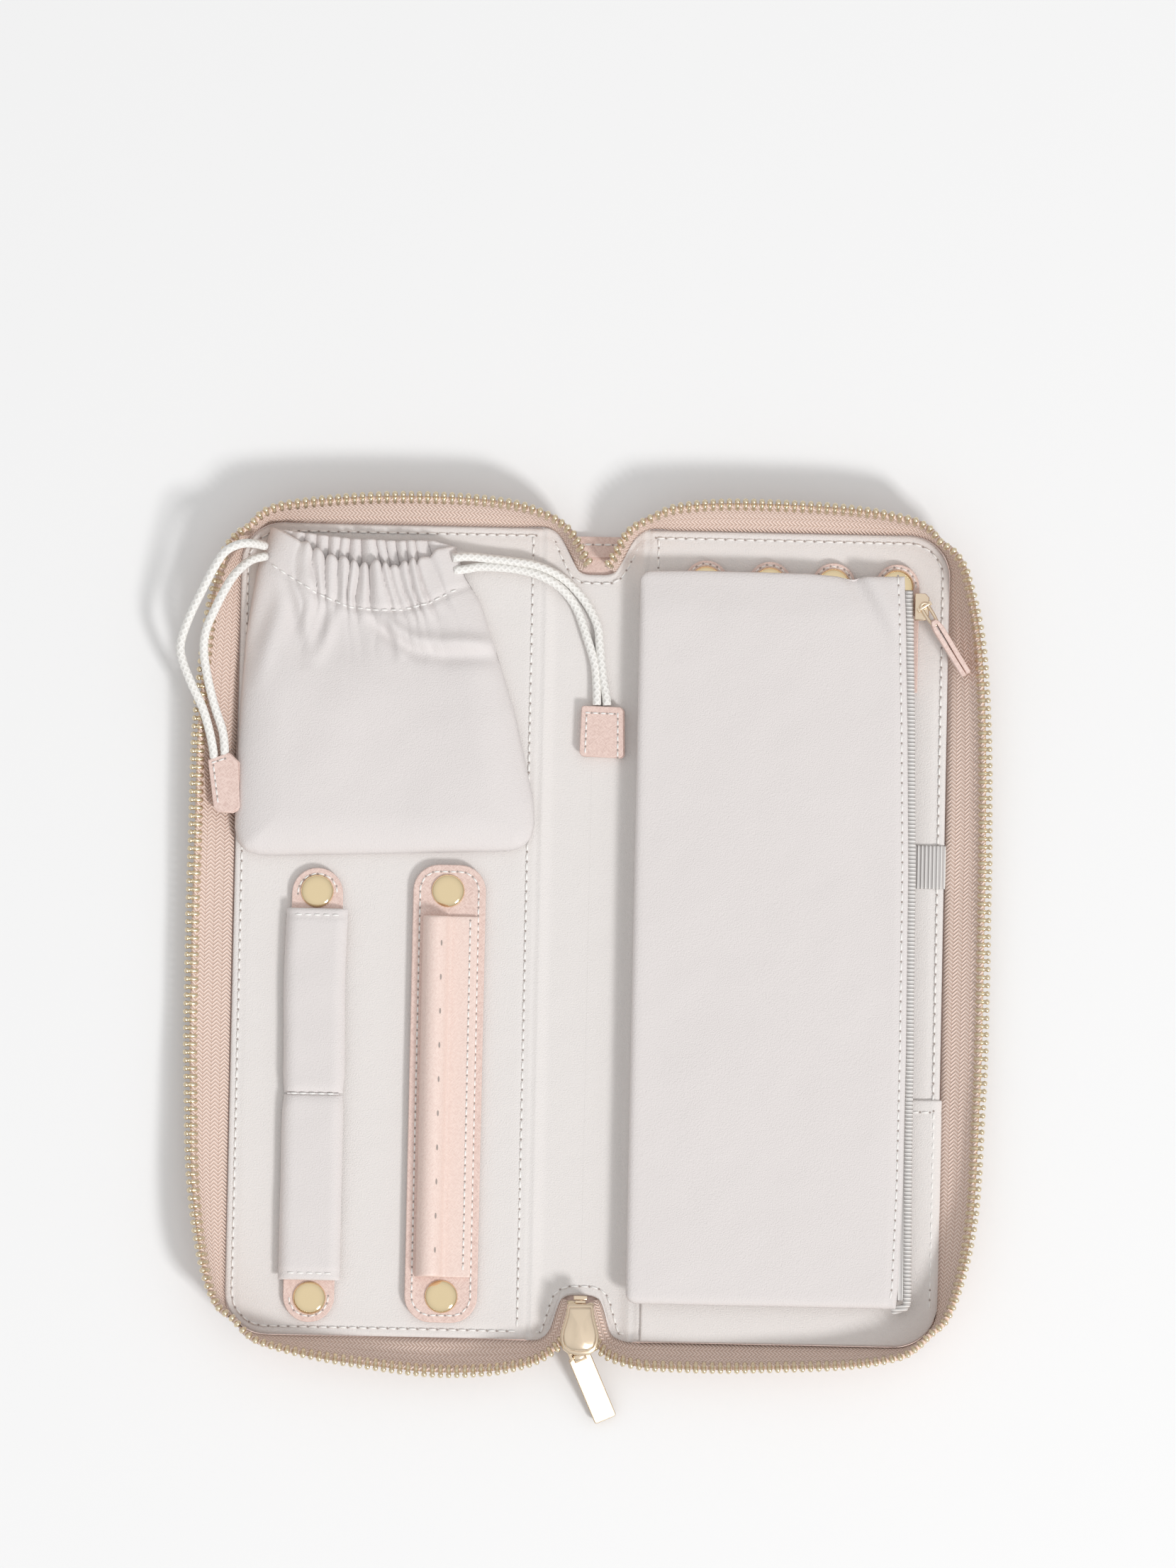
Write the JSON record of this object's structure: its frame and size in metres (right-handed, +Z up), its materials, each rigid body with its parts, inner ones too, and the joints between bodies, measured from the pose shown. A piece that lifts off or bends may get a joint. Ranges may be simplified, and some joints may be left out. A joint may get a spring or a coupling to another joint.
{
  "type": "travel jewelry case",
  "caption": "Zipped travel jewelry case open flat like a book, with a ring strap, an earring bar, a drawstring pouch and a zipped page over necklace snaps.",
  "frame": {"origin": "middle of the spine, on the plane that the open case lies on", "axes": "+X to the right-hand tray, +Y to the top end of the spine, +Z up out of the open case"},
  "size_m": [0.2319, 0.2627, 0.0192],
  "materials": {
    "cover_leather": "blush cross-grained leatherette",
    "trim_leather": "blush cross-grained leather, satin",
    "zip_tape": "woven herringbone tape",
    "zip_teeth": "pale gold, polished",
    "gold_metal": "pale gold, polished",
    "velvet": "short-pile velvet, warm white",
    "pale_velvet": "short-pile velvet, warm white",
    "padding": "soft wadding, hidden",
    "stiffener": "grey paperboard, hidden",
    "cord": "braided cord",
    "grey_webbing": "light grey webbing"
  },
  "bodies": {
    "spine": {"spine_cover": "cover_leather", "spine_felt": "padding", "spine_lining": "velvet", "spine_hems": "cover_leather", "spine_tape_left": "zip_tape", "spine_tape_right": "zip_tape", "spine_teeth": "zip_teeth", "zip_box": "zip_teeth", "main_slider": "gold_metal"},
    "main_pull": {"main_pull": "gold_metal"},
    "left_half": {"left_cover": "cover_leather", "left_foam": "padding", "left_board": "stiffener", "left_lining": "velvet", "left_tape": "zip_tape", "left_teeth": "zip_teeth", "left_tape_folds": "zip_tape", "left_studs": "gold_metal", "ring_anchor": "pale_velvet"},
    "ring_upper": {"ring_strap_upper": "pale_velvet", "ring_tab_upper": "trim_leather", "ring_cap_upper": "gold_metal"},
    "ring_lower": {"ring_strap_lower": "pale_velvet", "ring_tab_lower": "trim_leather", "ring_cap_lower": "gold_metal"},
    "earring_bar": {"earring_base": "trim_leather", "earring_roll": "trim_leather", "earring_caps": "gold_metal"},
    "pouch": {"pouch_body": "pale_velvet", "pouch_neck": "pale_velvet", "left_cord_outer": "cord", "left_cord_inner": "cord", "left_tag": "trim_leather", "right_cord_upper": "cord", "right_cord_lower": "cord", "right_cord_bends": "cord"},
    "tag_end": {"right_cord_ends": "cord", "right_tag": "trim_leather"},
    "right_half": {"right_cover": "cover_leather", "right_foam": "padding", "right_board": "stiffener", "right_lining": "velvet", "right_tape": "zip_tape", "right_teeth": "zip_teeth", "right_tape_folds": "zip_tape", "right_studs": "gold_metal", "necklace_tabs": "trim_leather", "necklace_caps": "gold_metal", "elastic_band": "grey_webbing", "chain_pocket": "velvet"},
    "page": {"page_back": "pale_velvet", "page_front": "pale_velvet", "page_hinge": "pale_velvet", "page_zip_tape": "grey_webbing", "page_zip_coil": "grey_webbing"},
    "page_slider": {"page_slider": "gold_metal"},
    "page_pull": {"page_pull_ring": "gold_metal", "page_pull_strap": "trim_leather"}
  },
  "joints": [
    {"name": "main_pull_swing", "type": "hinge", "parent": "spine", "child": "main_pull", "pos_m": [0, -0.1191, 0.0092], "axis": [0.9135, 0.4067, 0], "range_deg": [-110, 0]},
    {"name": "left_fold", "type": "hinge", "parent": "spine", "child": "left_half", "pos_m": [-0.015, 0, 0.0024], "axis": [0, 1, 0], "range_deg": [0, 90], "deforming": ["left_tape_folds"]},
    {"name": "right_fold", "type": "hinge", "parent": "spine", "child": "right_half", "pos_m": [0.015, 0, 0.0024], "axis": [0, -1, 0], "range_deg": [0, 90], "deforming": ["right_tape_folds", "page_hinge"]},
    {"name": "ring_upper_open", "type": "hinge", "parent": "left_half", "child": "ring_upper", "pos_m": [-0.0762, -0.0455, 0.00795], "axis": [-1, 0, 0], "range_deg": [-80, 0]},
    {"name": "ring_lower_open", "type": "hinge", "parent": "left_half", "child": "ring_lower", "pos_m": [-0.0762, -0.0481, 0.00795], "axis": [1, 0, 0], "range_deg": [-80, 0]},
    {"name": "earring_bar_lift", "type": "slide", "parent": "left_half", "child": "earring_bar", "axis": [0, 0, -1], "range_m": [-0.05, 0]},
    {"name": "pouch_lift", "type": "slide", "parent": "left_half", "child": "pouch", "axis": [0, 0, -1], "range_m": [-0.1, 0], "deforming": ["right_cord_bends"]},
    {"name": "tag_flex", "type": "hinge", "parent": "pouch", "child": "tag_end", "pos_m": [-0.015, 0, 0.0024], "axis": [0, 1, 0], "range_deg": [-90, 0]},
    {"name": "page_turn", "type": "hinge", "parent": "right_half", "child": "page", "pos_m": [0.0155, 0, 0.00885], "axis": [0, 1, 0], "range_deg": [-160, 0]},
    {"name": "page_slider_travel", "type": "slide", "parent": "page", "child": "page_slider", "axis": [0, 1, 0], "range_m": [-0.16, 0]},
    {"name": "page_pull_swing", "type": "hinge", "parent": "page_slider", "child": "page_pull", "pos_m": [0.0929, 0.0939, 0.0122], "axis": [0.8387, 0.5446, 0], "range_deg": [-100, 0]}
  ],
  "couplings": [
    {"joint": "tag_flex", "follows": "left_fold", "ratio": -1}
  ]
}
